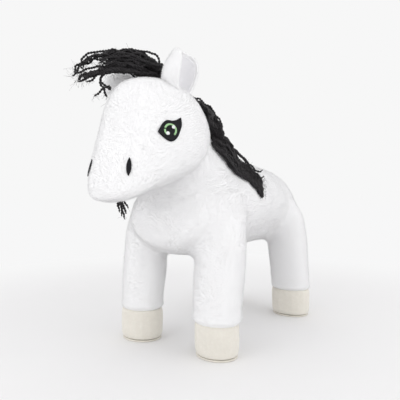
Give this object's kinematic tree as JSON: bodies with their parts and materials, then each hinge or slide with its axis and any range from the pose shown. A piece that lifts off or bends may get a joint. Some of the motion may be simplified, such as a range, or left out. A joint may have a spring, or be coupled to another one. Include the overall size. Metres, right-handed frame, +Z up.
{
  "type": "plush horse",
  "caption": "Standing stuffed toy horse in white plush, with suede hooves, embroidered eyes and nostrils, cupped ears and a black yarn forelock, mane and tail.",
  "frame": {"origin": "on the floor, under the middle of the whole toy's box", "axes": "+Z up, -Y the way the horse faces, +X its own left side"},
  "size_m": [0.1636, 0.3821, 0.3194],
  "materials": {
    "white_plush": "short white pile, matt",
    "stuffing_fibre": "loose white polyester fibre, matt",
    "hoof_suede": "imitation suede in pale beige, matt",
    "sole_suede": "imitation suede in beige, matt",
    "black_thread": "satin-stitched thread, slightly shiny",
    "green_thread": "satin-stitched thread, slightly shiny",
    "white_thread": "satin-stitched thread, slightly shiny",
    "black_yarn": "crimped plied yarn, faintly shiny"
  },
  "bodies": {
    "body": {"torso_cover": "white_plush", "torso_stuffing": "stuffing_fibre", "neck_cover": "white_plush", "neck_stuffing": "stuffing_fibre", "leg_cover_front_left": "white_plush", "leg_cover_front_right": "white_plush", "leg_cover_rear_left": "white_plush", "leg_cover_rear_right": "white_plush", "leg_stuffing_front_left": "stuffing_fibre", "leg_stuffing_front_right": "stuffing_fibre", "leg_stuffing_rear_left": "stuffing_fibre", "leg_stuffing_rear_right": "stuffing_fibre", "hoof_cover_front_left": "hoof_suede", "hoof_cover_front_right": "hoof_suede", "hoof_cover_rear_left": "hoof_suede", "hoof_cover_rear_right": "hoof_suede", "hoof_sole_front_left": "sole_suede", "hoof_sole_front_right": "sole_suede", "hoof_sole_rear_left": "sole_suede", "hoof_sole_rear_right": "sole_suede", "mane_left": "black_yarn", "mane_right": "black_yarn"},
    "head": {"head_cover": "white_plush", "head_stuffing": "stuffing_fibre", "eye_patch_left": "black_thread", "eye_iris_left": "green_thread", "eye_glint_low_left": "white_thread", "eye_glint_high_left": "white_thread", "nostril_left": "black_thread", "eye_patch_right": "black_thread", "eye_iris_right": "green_thread", "eye_glint_low_right": "white_thread", "eye_glint_high_right": "white_thread", "nostril_right": "black_thread", "mane_poll": "black_yarn"},
    "ear_left": {"ear_back_left": "white_plush", "ear_lining_left": "white_plush"},
    "ear_right": {"ear_back_right": "white_plush", "ear_lining_right": "white_plush"},
    "forelock": {"forelock": "black_yarn"},
    "tail_root": {"tail_dock": "black_yarn"},
    "tail": {"tail_yarn": "black_yarn"}
  },
  "joints": [
    {"name": "head_turn", "type": "hinge", "parent": "body", "child": "head", "pos_m": [0, -0.0854, 0.216], "axis": [0, -0.682, 0.7314], "range_deg": [-15, 15], "stiffness_Nm_per_rad": 0.4},
    {"name": "ear_left_fold", "type": "hinge", "parent": "head", "child": "ear_left", "pos_m": [0.031, -0.1094, 0.28], "axis": [0, 1, 0], "range_deg": [-6, 30], "stiffness_Nm_per_rad": 0.01},
    {"name": "ear_right_fold", "type": "hinge", "parent": "head", "child": "ear_right", "pos_m": [-0.031, -0.1094, 0.28], "axis": [0, -1, 0], "range_deg": [-20, 8], "stiffness_Nm_per_rad": 0.01},
    {"name": "forelock_lift", "type": "hinge", "parent": "head", "child": "forelock", "pos_m": [0.00156, -0.1103, 0.289], "axis": [-0.6426, 0.7662, 0], "range_deg": [0, 25]},
    {"name": "tail_swing", "type": "hinge", "parent": "body", "child": "tail_root", "pos_m": [0, 0.1546, 0.184], "axis": [0, 1, 0], "range_deg": [-25, 25]},
    {"name": "tail_lift", "type": "hinge", "parent": "tail_root", "child": "tail", "pos_m": [0, 0.1626, 0.184], "axis": [1, 0, 0], "range_deg": [0, 60]}
  ]
}
